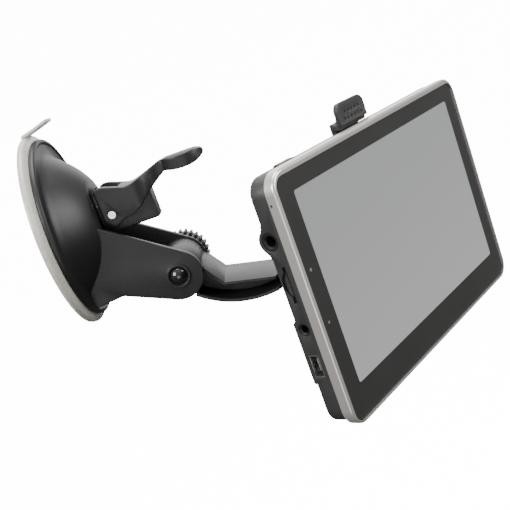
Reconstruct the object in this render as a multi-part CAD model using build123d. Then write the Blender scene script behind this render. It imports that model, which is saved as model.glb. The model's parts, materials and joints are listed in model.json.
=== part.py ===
"""Portable car navigator on a windscreen suction mount, in millimetres.

Row frame: the origin is the centre of the suction face, +X runs from the glass along the suction
axis, +Z is up, and Y is along the fork bolt.  The navigator is drawn in its own frame (x across the
screen, y up the screen, z out of the screen, zero on the front of the lens) and is then placed.
"""
from build123d import *
import os
from math import acos, atan2, cos, pi, radians, sin, sqrt, tan

os.makedirs("parts", exist_ok=True)

# ---------------------------------------------------------------- driving dimensions
# suction foot
PAD_RADIUS = 36.4
PAD_THICKNESS = 3.5
PAD_WALL = 2.4                # height of the pad's side wall, below its sloping edge
PULL_TAB_WIDTH = 11.0
PULL_TAB_THICKNESS = 1.3
PULL_TAB_REACH = 7.2          # from the pad's front to the tip, along the suction axis
FLANGE_RADIUS = 34.0
FLANGE_THICKNESS = 2.0
DOME_HEIGHT = 13.0            # from the pad to the flat top of the dome
RIM_WIDTH = 1.5               # of the raised edge round the flange's front
DOME_BASE_RADIUS = 26.9
DOME_TOP_RADIUS = 14.7
DOME_WALL = 2.2
DOME_CROWN_WALL = 5.0         # thick crown that takes the cam pockets
# fork and bolt
FORK_GAP = 24.0
FORK_PLATE = 3.0
PIVOT_X = 37.4
PIVOT_Z = -28.0
FORK_END_RADIUS = 9.0
BOLT_RADIUS = 2.0
BOLT_HEAD_RADIUS = 3.3
KNOB_RADIUS = 10.0
KNOB_THICKNESS = 8.0
KNOB_TEETH = 26
TOOTH_RADIUS = 0.65
WASHER_THICKNESS = 0.8
# lever and plunger
PIN_X = 21.6
PIN_RADIUS = 1.4
CAM_FLAT = 3.7                # pin to the cheek edge that rests by the dome
CAM_CREST = 10.7              # pin to the cheek edge that stands on the dome when the lever is up
CAM_LIFT = 5.7                # plunger travel over the lever's quarter turn
LEVER_WIDTH = 16.8
TOWER_WIDTH = 10.0
TOWER_END_X = 37.2
TOWER_TOP_Z = 4.2
TOWER_BOTTOM_Z = -6.7
STEM_RADIUS = 2.6
# arm and ball
ARM_WIDTH = 28.0
ARM_WEB = 3.0
ARM_FLANGE = 1.3
HUB_RADIUS = 8.4
ARM_END_X = 80.0              # where the beam stops and the ball's neck goes on
ARM_TAPER = 10.0
ARM_END_HALF = 4.4
BALL_X = 96.5
BALL_Z = -37.6
BALL_RADIUS = 8.5
NECK_RADIUS = 3.3
BALL_TO_LENS = 29.8
NAVIGATOR_YAW = 38.4          # the screen is turned this far from the suction axis
SEAT_WALL = 0.9
SOCKET_WALL = 2.0
# navigator
SCREEN_WIDTH = 108.0
SCREEN_HEIGHT = 64.8
BORDER_SIDE = 7.94
BORDER_TOP = 6.06
BORDER_BOTTOM = 10.63
BEZEL_SIDE = 1.4
BEZEL_TOP = 2.0
BEZEL_BOTTOM = 1.2
BEZEL_DEPTH = 4.1
BEZEL_LIP = 0.5
LENS_THICKNESS = 1.1
CASE_DEPTH = 10.1             # front of the lens to the flat back
CASE_WALL = 1.5
CASE_INSET = 0.9              # the back cover is this much smaller than the bezel all round
HEADPHONE_RADIUS = 1.8
AV_JACK_RADIUS = 1.28
CRADLE_WIDTH = 46.0
CRADLE_THICKNESS = 2.4
TAB_WIDTH = 18.0
TAB_HEIGHT = 7.8
# clearances
RUNNING = 0.08                # radial, on a shaft or stem
LOOSE = 0.3                   # between faces that move past each other
SEATED = 0.1                  # between a fixed piece and its pocket

# ---------------------------------------------------------------- derived sizes
FLANGE_TOP_X = PAD_THICKNESS + FLANGE_THICKNESS
DOME_TOP_X = PAD_THICKNESS + DOME_HEIGHT
FORK_OUTER = FORK_GAP / 2 + FORK_PLATE
LENS_HALF_X = SCREEN_WIDTH / 2 + BORDER_SIDE
LENS_TOP = SCREEN_HEIGHT / 2 + BORDER_TOP
LENS_BOTTOM = -SCREEN_HEIGHT / 2 - BORDER_BOTTOM
CASE_HALF_X = LENS_HALF_X + BEZEL_SIDE
CASE_TOP = LENS_TOP + BEZEL_TOP
CASE_BOTTOM = LENS_BOTTOM - BEZEL_BOTTOM
COVER_HALF_X = CASE_HALF_X - CASE_INSET
COVER_TOP = CASE_TOP - CASE_INSET
COVER_BOTTOM = CASE_BOTTOM + CASE_INSET
SCREEN_NORMAL = (cos(radians(NAVIGATOR_YAW)), -sin(radians(NAVIGATOR_YAW)), 0)
SCREEN_RIGHT = (sin(radians(NAVIGATOR_YAW)), cos(radians(NAVIGATOR_YAW)), 0)
LENS_CENTRE = (BALL_X + BALL_TO_LENS * SCREEN_NORMAL[0], BALL_TO_LENS * SCREEN_NORMAL[1], BALL_Z)
NAVIGATOR = Location(Plane(origin=LENS_CENTRE, x_dir=SCREEN_RIGHT, z_dir=SCREEN_NORMAL))


# ---------------------------------------------------------------- helpers
def save(name, shape):
    """Write one named piece."""
    shape.label = name
    export_step(shape, f"parts/{name}.step")
    print(f"{name}: {shape.volume:.1f} mm3, {len(shape.solids())} solid(s)")


def side_plate(outline, y_low, y_high):
    """Extrude an outline drawn in X and Z between two places along Y."""
    return extrude(Plane.XZ.offset(-y_low) * outline, amount=y_high - y_low, dir=(0, 1, 0))


def turned(points):
    """Turn a closed outline of (x, radius) points about the suction axis."""
    face = make_face(Plane.XZ * Polyline(*points, close=True))
    return revolve(face, axis=Axis.X)


def block(low, high):
    """A box between two corners."""
    size = [b - a for a, b in zip(low, high)]
    centre = [(a + b) / 2 for a, b in zip(low, high)]
    return Pos(*centre) * Box(*size)


def rod_y(radius, x, z, y_low, y_high):
    """A round bar along Y."""
    return side_plate(Pos(x, z) * Circle(radius), y_low, y_high)


def rod_x(radius, x_low, x_high, y=0.0, z=0.0):
    """A round bar along X."""
    disc = Plane.YZ.offset(x_low) * (Pos(y, z) * Circle(radius))
    return extrude(disc, amount=x_high - x_low)


def tangent_point(point, centre, radius, side):
    """Where the line from a point touches a circle, on the left (+1) or right (-1) of the way there."""
    dx, dz = centre[0] - point[0], centre[1] - point[1]
    reach = sqrt(dx * dx + dz * dz)
    turn = atan2(dz, dx) + pi + side * -acos(radius / reach)
    return centre[0] + radius * cos(turn), centre[1] + radius * sin(turn)


def card(half_x, low_y, high_y, z_low, z_high, corner):
    """A flat slab with rounded corners in the navigator's frame."""
    outline = Pos(0, (low_y + high_y) / 2) * RectangleRounded(2 * half_x, high_y - low_y, corner)
    return extrude(Plane.XY.offset(z_low) * outline, amount=z_high - z_low)


def outer_edges(shape, axis, position, tolerance=0.01):
    """The edges that lie in one plane across an axis."""
    return shape.edges().filter_by_position(axis, position - tolerance, position + tolerance)


# ---------------------------------------------------------------- suction foot
FOOT_RADIUS = 7.0
FOOT_BACK_X = 2.6
FOOT_THICKNESS = 2.2
PAD_BOSS_RADIUS = 9.5
PAD_BOSS_HEIGHT = 2.6
SPRING_WIRE = 0.35            # wire radius
SPRING_OUTER = 4.1
SPRING_TURNS = 5
SPRING_SEAT_X = DOME_TOP_X - 1.0


def suction_pad():
    """Clear soft disc with a thick centre that holds the plunger's foot, and a pull tab."""
    rim_round = 1.2
    top_radius = PAD_RADIUS - 2.1
    disc = turned([(0, 0), (0, PAD_RADIUS - rim_round), (rim_round, PAD_RADIUS), (PAD_WALL, PAD_RADIUS),
                   (PAD_THICKNESS, top_radius), (PAD_THICKNESS, 0)])
    boss = rod_x(PAD_BOSS_RADIUS, PAD_THICKNESS, PAD_THICKNESS + PAD_BOSS_HEIGHT)
    pocket = rod_x(FOOT_RADIUS + LOOSE, FOOT_BACK_X, PAD_THICKNESS + PAD_BOSS_HEIGHT)
    root = (0.4, PAD_RADIUS - 1.0)
    rise = 2.6
    tip = (PAD_THICKNESS + PULL_TAB_REACH, root[1] + rise)
    strip = Polygon(root, tip, (tip[0] - 0.3, tip[1] + PULL_TAB_THICKNESS), (root[0], root[1] + PULL_TAB_THICKNESS),
                    align=None)
    web = Polygon(root, (PAD_WALL, root[1]), (PAD_WALL + 1.2, root[1] + 1.3), (root[0], root[1] + 1.3), align=None)
    tab = side_plate(strip + web, -PULL_TAB_WIDTH / 2, PULL_TAB_WIDTH / 2)
    return disc + boss - pocket + tab


def housing_shell():
    """Solid form of the flange and the dome."""
    base = (FLANGE_TOP_X + 0.3, DOME_BASE_RADIUS)
    groove_x = FLANGE_TOP_X - 0.5
    shoulder = (DOME_TOP_X - 2.9, DOME_TOP_RADIUS + 6.1)
    top = (DOME_TOP_X, DOME_TOP_RADIUS)
    rest = Polyline(top, (DOME_TOP_X, 0), (PAD_THICKNESS, 0), (PAD_THICKNESS, FLANGE_RADIUS),
                    (FLANGE_TOP_X - 0.4, FLANGE_RADIUS), (FLANGE_TOP_X, FLANGE_RADIUS - 0.5),
                    (FLANGE_TOP_X, FLANGE_RADIUS - RIM_WIDTH), (groove_x, FLANGE_RADIUS - RIM_WIDTH - 0.4),
                    (groove_x, DOME_BASE_RADIUS + 1.2), base)
    return revolve(make_face(Plane.XZ * Curve([Bezier(base, shoulder, top), rest])), axis=Axis.X)


def housing_hollow():
    """Space under the dome that the plunger and the pad's boss work in."""
    base_r = DOME_BASE_RADIUS - DOME_WALL - 0.7
    crown_x = DOME_TOP_X - DOME_CROWN_WALL
    crown_r = DOME_TOP_RADIUS + 1.8
    room = turned([(PAD_THICKNESS - 1, 0), (PAD_THICKNESS - 1, base_r), (FLANGE_TOP_X + 0.4, base_r),
                   (crown_x, crown_r), (crown_x, 0)])
    return room + rod_x(SPRING_OUTER + LOOSE, crown_x - 1, SPRING_SEAT_X)


def fork_outline():
    """One fork plate, from inside the dome to its round end."""
    centre = (PIVOT_X, PIVOT_Z)
    top_root = (14.5, -1.3)
    low_root = (PIVOT_X - 21.4, PIVOT_Z - 0.5)
    top_touch = tangent_point(top_root, centre, FORK_END_RADIUS, 1)
    low_touch = tangent_point(low_root, centre, FORK_END_RADIUS, -1)
    tip = (PIVOT_X + FORK_END_RADIUS, PIVOT_Z)
    flange_root = (FLANGE_TOP_X - 1.0, -FLANGE_RADIUS + 4.4)
    edges = [Line(top_root, top_touch), ThreePointArc(top_touch, tip, low_touch),
             Polyline(low_touch, low_root, flange_root, (FLANGE_TOP_X - 1.0, -4.0), top_root)]
    return make_face(Curve(edges))


POCKET_DEPTH = 3.0            # of the pockets that the cam corners swing into
HEAD_RING = 0.9               # raised ring round the bolt's head


def cam_pocket(side):
    """Pocket in the dome's crown that lets one cheek's corner swing past."""
    inner = TOWER_WIDTH / 2 + 0.1
    outer = LEVER_WIDTH / 2 + LOOSE
    low, high = sorted((side * inner, side * outer))
    return block((DOME_TOP_X - POCKET_DEPTH, low, -CAM_CREST / 2), (DOME_TOP_X + 0.2, high, CAM_CREST - 1.0))


def suction_housing():
    """Flange, dome, fork and lever tower moulded as one piece."""
    shell = housing_shell()
    fork = side_plate(fork_outline(), -FORK_OUTER, -FORK_GAP / 2)
    fork = fork + side_plate(fork_outline(), FORK_GAP / 2, FORK_OUTER)
    tower = block((DOME_TOP_X - 1, -TOWER_WIDTH / 2, TOWER_BOTTOM_Z), (TOWER_END_X, TOWER_WIDTH / 2, TOWER_TOP_Z))
    tower = fillet(tower.edges().filter_by(Axis.X), 0.6)
    ring = rod_y(BOLT_HEAD_RADIUS + 1.1, PIVOT_X, PIVOT_Z, -FORK_OUTER - HEAD_RING, -FORK_OUTER)
    ring = ring - rod_y(BOLT_HEAD_RADIUS + 0.2, PIVOT_X, PIVOT_Z, -FORK_OUTER - 2, -FORK_OUTER)
    body = shell + fork + tower + ring - housing_hollow()
    body = body - rod_x(STEM_RADIUS + RUNNING, SPRING_SEAT_X - 1, PIN_X + CAM_LIFT + 4.4)
    slot_low, slot_high = PIN_X - PIN_RADIUS - 0.5, PIN_X + CAM_LIFT + PIN_RADIUS + 0.5
    slot_half = PIN_RADIUS + 0.4
    body = body - block((slot_low, -TOWER_WIDTH, -slot_half), (slot_high, TOWER_WIDTH, slot_half))
    body = body - cam_pocket(1) - cam_pocket(-1)
    body = body - rod_y(BOLT_RADIUS + RUNNING, PIVOT_X, PIVOT_Z, 0, FORK_OUTER + 1)
    neck = BOLT_RADIUS + SEATED
    return body - block((PIVOT_X - neck, -FORK_OUTER - 1, PIVOT_Z - neck), (PIVOT_X + neck, 0, PIVOT_Z + neck))


def plunger():
    """Foot disc bonded in the pad, and the stem that the lever lifts."""
    foot = rod_x(FOOT_RADIUS, FOOT_BACK_X + SEATED, FOOT_BACK_X + SEATED + FOOT_THICKNESS)
    stem = rod_x(STEM_RADIUS, FOOT_BACK_X + SEATED, PIN_X + 3.6)
    eye = rod_y(PIN_RADIUS + 0.02, PIN_X, 0, -STEM_RADIUS - 1, STEM_RADIUS + 1)
    return foot + stem - eye


def return_spring():
    """Coil spring round the stem, between the foot and the dome's crown."""
    low = FOOT_BACK_X + SEATED + FOOT_THICKNESS + SPRING_WIRE + 0.1
    high = SPRING_SEAT_X - SPRING_WIRE - 0.1
    coil_radius = SPRING_OUTER - SPRING_WIRE
    path = Helix(pitch=(high - low) / SPRING_TURNS, height=high - low, radius=coil_radius)
    wire = Plane(origin=path @ 0, z_dir=path % 0) * Circle(SPRING_WIRE)
    coil = sweep(wire, path=path)
    return Pos(low, 0, 0) * (Rot(0, 90, 0) * coil)


def lever_pin():
    """Steel pin through the cheeks and the stem."""
    return rod_y(PIN_RADIUS, PIN_X, 0, -LEVER_WIDTH / 2 - 0.1, LEVER_WIDTH / 2 + 0.1)


# ---------------------------------------------------------------- lever
NECK_HALF = 3.3
PAD_CENTRE = 30.2             # pin to the middle of the thumb pad
PAD_HALF = (8.5, 6.6)
PAD_TOP = 12.8


def lever_side():
    """Side view of the lever, about the pin."""
    cheek = Polyline((-CAM_FLAT, -2.2), (-1.9, -4.7), (0.3, -5.2), (2.6, -3.3), (4.8, -2.7), (7.3, -2.4),
                     (9.6, -1.4), (11.6, -0.2), (13.4, 1.5), (15.2, 3.2), (19.9, 6.4), (23.0, 8.3))
    under = Spline((23.0, 8.3), (26.8, 7.6), (31.1, 7.4), (35.4, 8.0), (38.0, 9.4))
    tip = Spline((38.0, 9.4), (38.5, 10.6), (37.8, 11.9))
    nose = Spline((37.8, 11.9), (34.0, 12.6), (29.1, PAD_TOP), (24.6, 12.6), (21.2, 12.1))
    neck = Spline((21.2, 12.1), (16.5, 10.4), (13.1, 9.2), (9.7, 8.3), (7.4, 8.2))
    top = Polyline((7.4, 8.2), (0.1, 10.5), (-1.9, CAM_CREST), (-3.2, 10.2), (-CAM_FLAT, 9.2), (-CAM_FLAT, -2.2))
    return make_face(Curve([cheek, under, tip, nose, neck, top]))


def lever_plan():
    """Plan of the lever, which narrows to a neck and opens to an oval thumb pad."""
    half = LEVER_WIDTH / 2
    wide_to, narrow_from = 9.5, 22.0
    ahead = ((1, 0), (1, 0))
    far_taper = Spline((wide_to, half), (narrow_from, NECK_HALF), tangents=ahead)
    near_taper = Spline((wide_to, -half), (narrow_from, -NECK_HALF), tangents=ahead)
    back = Polyline((wide_to, -half), (-8, -half), (-8, half), (wide_to, half))
    front = Polyline((narrow_from, NECK_HALF), (PAD_CENTRE, NECK_HALF), (PAD_CENTRE, -NECK_HALF),
                     (narrow_from, -NECK_HALF))
    stock = make_face(Curve([back, far_taper, front, near_taper]))
    return Sketch() + [stock, Pos(PAD_CENTRE, 0) * Ellipse(*PAD_HALF)]


def lever_crown():
    """What is taken off to crown the neck and the thumb pad across their width."""
    crown_radius = 30.0
    stock = block((PIN_X + 14, -12, 6), (PIN_X + 42, 12, 18))
    return stock - rod_x(crown_radius, PIN_X + 13, PIN_X + 43, 0, PAD_TOP - crown_radius)


def lever():
    """Cam lever: two cheeks on the pin, a neck and a dimpled thumb pad."""
    half = LEVER_WIDTH / 2
    edge_round = 0.6
    shoulder_end = 20.0
    side = side_plate(lever_side(), -half, half)
    shoulders = [edge for edge in outer_edges(side, Axis.Y, half) + outer_edges(side, Axis.Y, -half)
                 if edge.center().Z > 8.0 and edge.center().X < shoulder_end]
    side = Pos(PIN_X, 0, 0) * fillet(shoulders, edge_round)
    plan = Pos(PIN_X, 0, -20) * extrude(lever_plan(), amount=60, dir=(0, 0, 1))
    body = (side & plan) - lever_crown()
    slot = TOWER_WIDTH / 2 + 0.4
    body = body - block((PIN_X - 12, -slot, -12), (PIN_X + 5.0, slot, 16))
    reach = TOWER_END_X - PIN_X + LOOSE + 0.3
    body = body - block((PIN_X + 4, -slot, -12), (PIN_X + reach, slot, TOWER_TOP_Z + 0.4))
    body = body - rod_y(PIN_RADIUS + RUNNING, PIN_X, 0, -half - 1, half + 1)
    dimple = 1.3
    for step in (-1, 0, 1):
        body = body - Pos(PIN_X + PAD_CENTRE + 4.4 * step, 0, PAD_TOP + 0.6) * Sphere(dimple)
    return body


# ---------------------------------------------------------------- fork bolt and knob
def fork_bolt():
    """Carriage bolt with a domed head and a square neck in the near fork plate."""
    neck = BOLT_RADIUS
    far_end = FORK_OUTER + WASHER_THICKNESS + KNOB_THICKNESS - 1.0
    shank = rod_y(BOLT_RADIUS, PIVOT_X, PIVOT_Z, -FORK_OUTER, far_end)
    square = block((PIVOT_X - neck, -FORK_OUTER, PIVOT_Z - neck), (PIVOT_X + neck, -FORK_GAP / 2 - 0.2, PIVOT_Z + neck))
    head_height = 1.9
    dome_radius = (BOLT_HEAD_RADIUS ** 2 + head_height ** 2) / (2 * head_height)
    ball = Pos(PIVOT_X, -FORK_OUTER - head_height + dome_radius, PIVOT_Z) * Sphere(dome_radius)
    head = ball & rod_y(BOLT_HEAD_RADIUS + 1, PIVOT_X, PIVOT_Z, -FORK_OUTER - head_height - 1, -FORK_OUTER)
    return shank + square + head


def knob_washer():
    """Steel washer between the far fork plate and the knob."""
    ring = rod_y(7.0, PIVOT_X, PIVOT_Z, FORK_OUTER, FORK_OUTER + WASHER_THICKNESS)
    return ring - rod_y(BOLT_RADIUS + RUNNING, PIVOT_X, PIVOT_Z, FORK_OUTER - 1, FORK_OUTER + 2)


NUT_HEIGHT = 3.6
NUT_ACROSS = 7.0


def nut_hexagon(extra):
    """Outline of the nut or of its pocket."""
    return Pos(PIVOT_X, PIVOT_Z) * RegularPolygon(NUT_ACROSS / 2 + extra, 6, major_radius=False)


def clamp_knob():
    """Toothed thumb nut on the far side of the fork."""
    low = FORK_OUTER + WASHER_THICKNESS
    disc = rod_y(KNOB_RADIUS - 1.1, PIVOT_X, PIVOT_Z, low, low + KNOB_THICKNESS)
    rim = Sketch() + [spot * Circle(TOOTH_RADIUS) for spot in PolarLocations(KNOB_RADIUS - TOOTH_RADIUS, KNOB_TEETH)]
    root = Sketch() + [spot * Rectangle(1.4, 2 * TOOTH_RADIUS)
                       for spot in PolarLocations(KNOB_RADIUS - 1.35, KNOB_TEETH)]
    knob = disc + side_plate(Pos(PIVOT_X, PIVOT_Z) * (rim + root), low, low + KNOB_THICKNESS - 0.8)
    knob = knob - side_plate(nut_hexagon(SEATED), low - 1, low + NUT_HEIGHT)
    return knob - rod_y(BOLT_RADIUS + RUNNING, PIVOT_X, PIVOT_Z, low - 1, low + KNOB_THICKNESS + 1)


def knob_nut():
    """Brass nut pressed into the knob."""
    low = FORK_OUTER + WASHER_THICKNESS
    nut = side_plate(nut_hexagon(0), low + 0.05, low + NUT_HEIGHT - 0.05)
    return nut - rod_y(BOLT_RADIUS + RUNNING, PIVOT_X, PIVOT_Z, low - 1, low + NUT_HEIGHT + 1)


# ---------------------------------------------------------------- arm
def arm_outline():
    """Side view of the beam outside the fork."""
    shoulder = (PIVOT_X + 9.4, PIVOT_Z - 0.7)
    kink = (PIVOT_X + 14.6, PIVOT_Z - 8.0)
    top_end = (ARM_END_X, BALL_Z + 1.2)
    low_end = (ARM_END_X, BALL_Z - 5.2)
    top_knee = (ARM_END_X - ARM_TAPER, PIVOT_Z - 12.0)
    low_corner = (ARM_END_X - ARM_TAPER, PIVOT_Z - 17.5)
    heel = (PIVOT_X + 3.2, PIVOT_Z - 9.6)
    belly = (PIVOT_X + 16.6, PIVOT_Z - 16.6)
    top = Polyline((PIVOT_X + 5.0, PIVOT_Z + 4.0), shoulder, kink, top_knee, top_end, low_end, low_corner)
    under = ThreePointArc(low_corner, belly, heel)
    back = Line(heel, (PIVOT_X + 5.0, PIVOT_Z + 4.0))
    return make_face(Curve([top, under, back]))


def arm_plan():
    """Plan of the beam: as wide as the fork beyond it, and narrow at the ball."""
    half = ARM_WIDTH / 2
    knee, end = ARM_END_X - ARM_TAPER, ARM_END_X + 1.0
    return Polygon((30, -half), (knee, -half), (end, -ARM_END_HALF), (end, ARM_END_HALF), (knee, half), (30, half),
                   align=None)


def arm():
    """Flanged beam with a round hub in the fork, and a ball on its far end."""
    half = ARM_WIDTH / 2
    hub_half = FORK_GAP / 2 - LOOSE
    beam = side_plate(arm_outline(), -half, half)
    beam = beam & Pos(0, 0, -60) * extrude(arm_plan(), amount=60, dir=(0, 0, 1))
    recess_face = offset(arm_outline(), amount=-ARM_FLANGE, kind=Kind.INTERSECTION)
    recess = side_plate(recess_face, -half - 1, -ARM_WEB / 2)
    recess = recess + side_plate(recess_face, ARM_WEB / 2, half + 1)
    beam = beam - recess
    clear = FORK_END_RADIUS + LOOSE
    for side in (-1, 1):
        low, high = sorted((side * hub_half, side * (half + 1)))
        beam = beam - rod_y(clear, PIVOT_X, PIVOT_Z, low, high)
    hub = rod_y(HUB_RADIUS, PIVOT_X, PIVOT_Z, -hub_half, hub_half)
    start = Vector(ARM_END_X - 6.0, 0, BALL_Z - 2.6)
    ball_centre = Vector(BALL_X, 0, BALL_Z)
    way = ball_centre - start
    neck = Plane(origin=start, z_dir=way) * extrude(Circle(NECK_RADIUS), amount=way.length)
    root = Plane(origin=start, z_dir=way) * extrude(Circle(NECK_RADIUS + 0.9), amount=8.0)
    body = beam + hub + root + neck + Pos(BALL_X, 0, BALL_Z) * Sphere(BALL_RADIUS)
    return body - rod_y(BOLT_RADIUS + RUNNING, PIVOT_X, PIVOT_Z, -half - 1, half + 1)


# ---------------------------------------------------------------- ball joint, in the navigator's frame
BALL_DEPTH = -BALL_TO_LENS
SEAT_INNER = BALL_RADIUS + RUNNING
SEAT_OUTER = SEAT_INNER + SEAT_WALL
SOCKET_INNER = SEAT_OUTER + RUNNING
SOCKET_OUTER = SOCKET_INNER + SOCKET_WALL
OPENING_HALF_ANGLE = 76.0     # of the cone that the neck swings in
SEAT_RING_ANGLES = (100, 111)
SEAT_CUP_ANGLES = (128, 179.99)
THREAD_CLEARANCE = 0.08
COLLAR_RADIUS = SOCKET_OUTER + 2.6


def polar_zone(inner, outer, low_angle, high_angle):
    """Part of a round shell about the ball, between two angles from the way out of the socket."""
    def spot(radius, angle):
        return radius * sin(radians(angle)), BALL_DEPTH - radius * cos(radians(angle))
    middle = (low_angle + high_angle) / 2
    outer_arc = ThreePointArc(spot(outer, low_angle), spot(outer, middle), spot(outer, high_angle))
    inner_arc = ThreePointArc(spot(inner, high_angle), spot(inner, middle), spot(inner, low_angle))
    edges = [outer_arc, inner_arc, Line(spot(outer, high_angle), spot(inner, high_angle)),
             Line(spot(inner, low_angle), spot(outer, low_angle))]
    return revolve(make_face(Plane.XZ * Curve(edges)), axis=Axis.Z)


def neck_cone(reach):
    """Cone that the neck needs, with its point at the ball's centre."""
    wide = reach * tan(radians(OPENING_HALF_ANGLE))
    return revolve(make_face(Plane.XZ * Polyline((0, BALL_DEPTH), (0, BALL_DEPTH - reach), (wide, BALL_DEPTH - reach),
                                                 close=True)), axis=Axis.Z)


def ball_seat_ring():
    """Nylon ring round the ball's middle."""
    return polar_zone(SEAT_INNER, SEAT_OUTER, *SEAT_RING_ANGLES)


def ball_seat_cup():
    """Nylon cup behind the ball."""
    return polar_zone(SEAT_INNER, SEAT_OUTER, *SEAT_CUP_ANGLES)


def locking_collar():
    """Grip ring that screws onto the socket and keeps the ball in."""
    front = BALL_DEPTH - 4.0
    back = BALL_DEPTH + 8.6
    grips = 20
    ring = Pos(0, 0, front) * extrude(Circle(COLLAR_RADIUS), amount=back - front)
    rim = Sketch() + [spot * Circle(1.0) for spot in PolarLocations(COLLAR_RADIUS + 0.5, grips)]
    grooves = Pos(0, 0, front - 1) * extrude(rim, amount=back - front - 1.0)
    bore = Pos(0, 0, BALL_DEPTH - 0.6) * extrude(Circle(SOCKET_OUTER + THREAD_CLEARANCE), amount=20)
    ball_room = Pos(0, 0, BALL_DEPTH) * Sphere(SEAT_OUTER + RUNNING)
    lip_room = Pos(0, 0, BALL_DEPTH) * Sphere(SEAT_INNER)
    lip = Pos(0, 0, BALL_DEPTH - 1.1) * extrude(Circle(SOCKET_OUTER + 3), amount=-8)
    collar = ring - grooves - bore - (ball_room - lip) - lip_room
    return collar - neck_cone(12)


# ---------------------------------------------------------------- cradle
CRADLE_FRONT = -CASE_DEPTH - 0.3
CRADLE_BACK = CRADLE_FRONT - CRADLE_THICKNESS
CRADLE_TOP = COVER_TOP - 2.06
CRADLE_BOTTOM = COVER_BOTTOM + 2.83
TONGUE_WIDTH = 17.0
TONGUE_ROOT_Y = CRADLE_TOP - 16.5
HOOK_X = 15.0
HOOK_WIDTH = 8.0
HOOK_TOP_Y = CRADLE_BOTTOM + 7.5
HOOK_THICKNESS = 1.4


def cradle():
    """Back plate with two bottom hooks, a tongue slot and the ball socket."""
    plate = card(CRADLE_WIDTH / 2, CRADLE_BOTTOM, CRADLE_TOP, CRADLE_BACK, CRADLE_FRONT, 5)
    plate = chamfer(outer_edges(plate, Axis.Z, CRADLE_BACK), 0.6)
    slot = block((-TONGUE_WIDTH / 2 - LOOSE, TONGUE_ROOT_Y, CRADLE_BACK - 1),
                 (TONGUE_WIDTH / 2 + LOOSE, CRADLE_TOP + 1, CRADLE_FRONT + 1))
    plate = plate - slot
    for side in (-1, 1):
        window = Pos(side * 16.5, 4, CRADLE_BACK - 1) * extrude(SlotOverall(26, 5.0, rotation=90), amount=6)
        lower = Pos(side * 7.5, -27.5, CRADLE_BACK - 1) * extrude(SlotOverall(11, 4.4), amount=6)
        plate = plate - window - lower
        plate = plate + hook(side * HOOK_X)
    post = Pos(0, 0, BALL_DEPTH - 0.4) * extrude(Circle(SOCKET_OUTER), amount=CRADLE_BACK - BALL_DEPTH + 0.5)
    foot = Pos(0, 0, CRADLE_BACK) * extrude(Circle(SOCKET_OUTER + 3.2), amount=-2.4)
    foot = chamfer(outer_edges(foot, Axis.Z, CRADLE_BACK - 2.4), 1.4)
    body = plate + post + foot
    return body - Pos(0, 0, BALL_DEPTH) * Sphere(SOCKET_INNER) - neck_cone(12)


def hook(x):
    """One hook that goes through the back cover and turns down inside it."""
    inner = -CASE_DEPTH + CASE_WALL + 0.2
    toe_thickness, toe_reach = 1.2, 3.6
    stalk = block((x - HOOK_WIDTH / 2, HOOK_TOP_Y - HOOK_THICKNESS, CRADLE_BACK + 0.4),
                  (x + HOOK_WIDTH / 2, HOOK_TOP_Y, inner + toe_thickness))
    toe = block((x - HOOK_WIDTH / 2, HOOK_TOP_Y - toe_reach, inner),
                (x + HOOK_WIDTH / 2, HOOK_TOP_Y, inner + toe_thickness))
    return stalk + toe


def hook_slot(x):
    """Slot in the back cover that one hook goes through."""
    return block((x - HOOK_WIDTH / 2 - 0.4, HOOK_TOP_Y - 4.0, -CASE_DEPTH - 1),
                 (x + HOOK_WIDTH / 2 + 0.4, HOOK_TOP_Y + 0.4, -CASE_DEPTH + CASE_WALL + 0.05))


CLAW_WIDTH = 18.8
CLAW_FRONT = -8.2
CLAW_TOP = COVER_TOP + 3.04
SPINE_WIDTH = 14.8
TAB_FRONT = -6.6
TAB_BACK = -8.4
TAB_LOW = CLAW_TOP - 1.4
TAB_TOP = TAB_LOW + TAB_HEIGHT
TAB_DIMPLE = 0.55
DIMPLE_PITCH = 2.25


def release_tab():
    """Sprung tongue with a claw over the case's top edge and a finger tab."""
    tongue = block((-TONGUE_WIDTH / 2, TONGUE_ROOT_Y + LOOSE, CRADLE_BACK),
                   (TONGUE_WIDTH / 2, CRADLE_TOP + 0.6, CRADLE_FRONT))
    spine = block((-SPINE_WIDTH / 2, CRADLE_TOP, CRADLE_BACK), (SPINE_WIDTH / 2, CLAW_TOP, CRADLE_FRONT))
    claw = block((-CLAW_WIDTH / 2, COVER_TOP + 0.3, CRADLE_FRONT - 0.2), (CLAW_WIDTH / 2, CLAW_TOP, CLAW_FRONT))
    claw = fillet(claw.edges().filter_by(Axis.Z), 0.8)
    outline = Pos(0, (TAB_LOW + TAB_TOP) / 2) * Rectangle(TAB_WIDTH, TAB_TOP - TAB_LOW)
    outline = fillet(outline.vertices().sort_by(Axis.Y)[-2:], 3.0)
    tab = extrude(Plane.XY.offset(TAB_BACK) * outline, amount=TAB_FRONT - TAB_BACK, dir=(0, 0, 1))
    tab = fillet(outer_edges(tab, Axis.Z, TAB_FRONT), 0.4)
    gusset = Plane.YZ * Polygon((TAB_LOW + 0.4, TAB_FRONT - 0.8), (TAB_LOW + 0.4, CLAW_FRONT - 0.8),
                                (CLAW_TOP, CLAW_FRONT - 1.4), (CLAW_TOP + 2.0, TAB_BACK), (CLAW_TOP + 2.0, TAB_FRONT - 0.8),
                                align=None)
    link = extrude(gusset, amount=TAB_WIDTH / 2 - 0.6, both=True)
    body = tongue + spine + claw + tab + link
    for count, height in ((6, 1.9), (5, 4.3)):
        for step in range(count):
            across = DIMPLE_PITCH * (step - (count - 1) / 2)
            body = body - Pos(across, TAB_LOW + height, TAB_FRONT) * Sphere(TAB_DIMPLE)
    return body


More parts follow.
